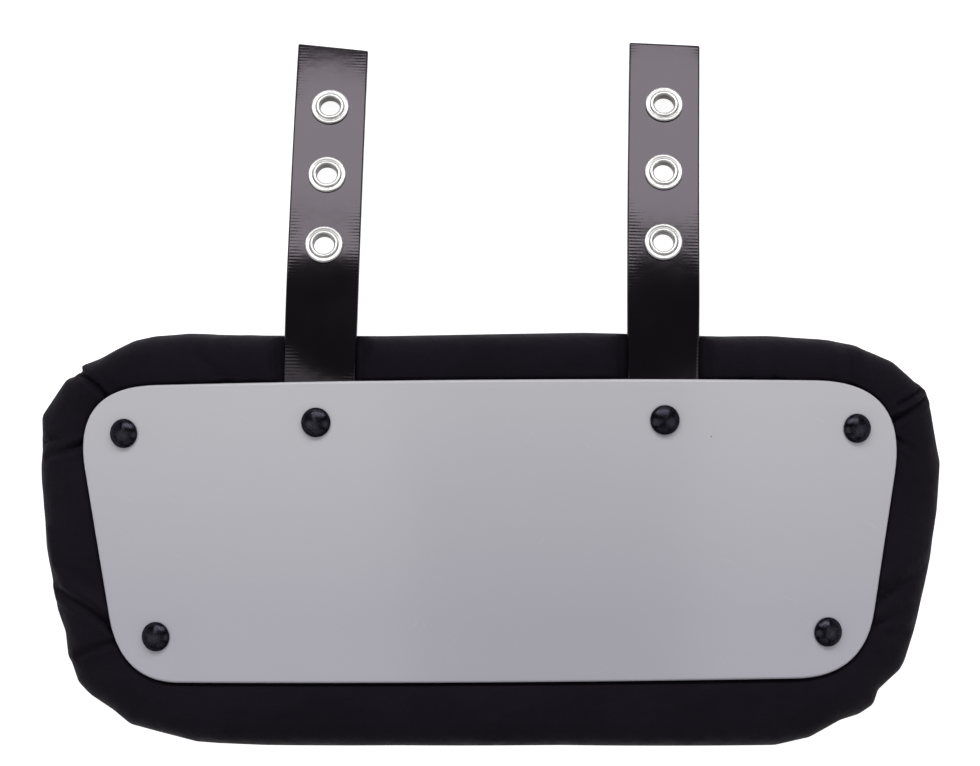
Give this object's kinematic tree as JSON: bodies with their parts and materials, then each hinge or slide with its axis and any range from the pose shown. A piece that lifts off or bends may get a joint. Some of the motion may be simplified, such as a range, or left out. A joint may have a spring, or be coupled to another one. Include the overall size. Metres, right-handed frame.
{
  "type": "football back plate",
  "caption": "Curved moulded shell riveted over a padded cushion with a puffy rim, with eyeleted webbing straps to hang it from shoulder pads.",
  "frame": {"origin": "middle of the bounding box, at its lowest point: on the surface that the part lies on", "axes": "+X across the wearer's back, +Y towards the ends of the straps, +Z out of the shell's outer face"},
  "size_m": [0.3306, 0.256, 0.0472],
  "materials": {
    "nylon": "plain woven nylon, low sheen",
    "shell": "light grey moulded plastic, satin gloss",
    "webbing": "black coated webbing, semi-gloss",
    "nickel": "nickel plate",
    "black_metal": "black semi-gloss, scuffed"
  },
  "bodies": {
    "root": {"back_pad": "nylon", "face_plate": "shell", "strap_left": "webbing", "strap_right": "webbing", "eyelet_left_top": "nickel", "eyelet_left_middle": "nickel", "eyelet_left_bottom": "nickel", "eyelet_right_top": "nickel", "eyelet_right_middle": "nickel", "eyelet_right_bottom": "nickel", "rivet_top_left": "black_metal", "rivet_top_right": "black_metal", "rivet_strap_left": "black_metal", "rivet_strap_right": "black_metal", "rivet_bottom_left": "black_metal", "rivet_bottom_right": "black_metal"}
  },
  "joints": []
}
